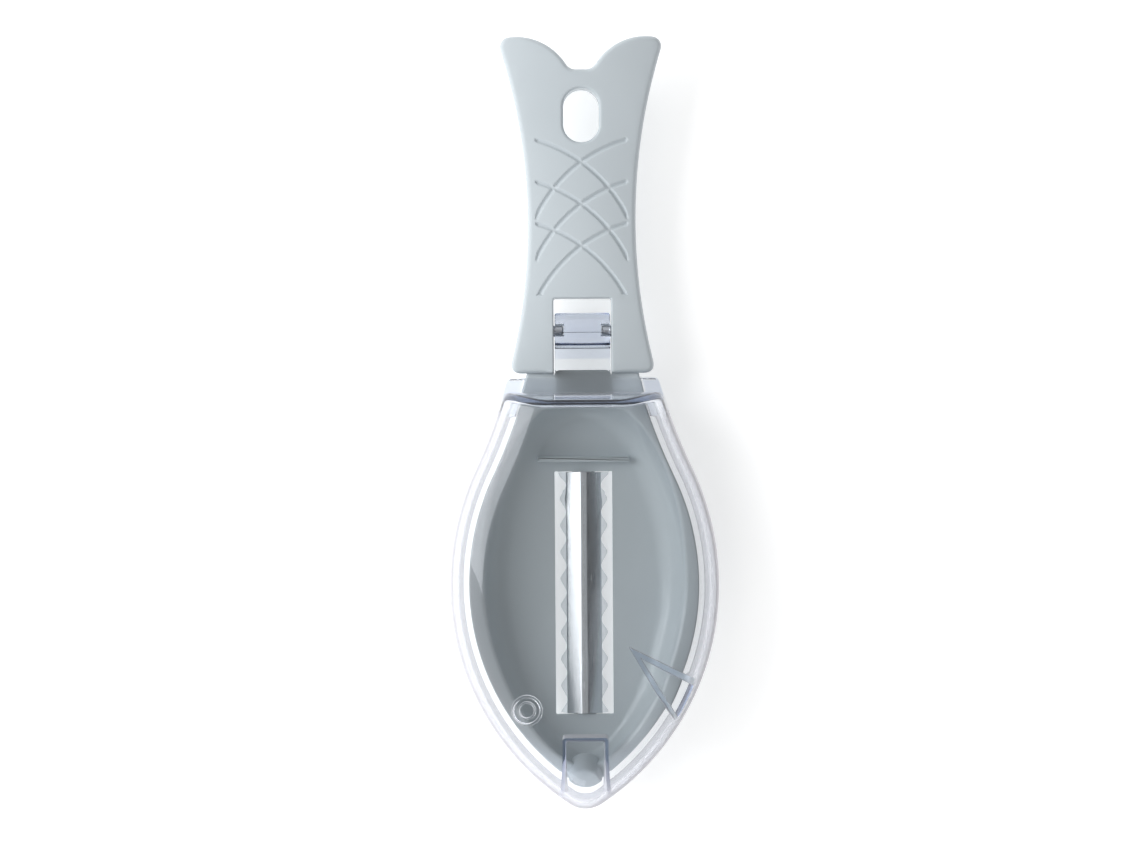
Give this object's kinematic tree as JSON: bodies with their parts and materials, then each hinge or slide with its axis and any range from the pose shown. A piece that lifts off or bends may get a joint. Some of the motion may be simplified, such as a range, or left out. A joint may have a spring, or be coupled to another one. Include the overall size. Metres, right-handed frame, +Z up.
{
  "type": "fish scaler",
  "caption": "Fish-shaped hand scaler: moulded tray and grip, clear hinged cover, and a toothed steel blade in a slot through the tray floor.",
  "frame": {"origin": "centre of the object's box in plan, on the plane that the tooth tips stand on", "axes": "+X across the fish, +Y from the snout to the tail, +Z up from the tooth tips to the top of the cover"},
  "size_m": [0.07, 0.2, 0.0342],
  "materials": {
    "moulding": "satin pale grey-green moulded plastic",
    "clear_plastic": "clear glossy moulded plastic",
    "blade_steel": "polished stainless strip",
    "pin_steel": "drawn steel wire"
  },
  "bodies": {
    "handle_and_tray": {"body": "moulding", "blade": "blade_steel", "hinge_pin_left": "pin_steel", "hinge_pin_right": "pin_steel"},
    "cover": {"cover": "clear_plastic"}
  },
  "joints": [
    {"name": "cover_hinge", "type": "hinge", "parent": "handle_and_tray", "child": "cover", "pos_m": [0, 0.0238, 0.0125], "axis": [-1, 0, 0], "range_deg": [0, 110]}
  ]
}
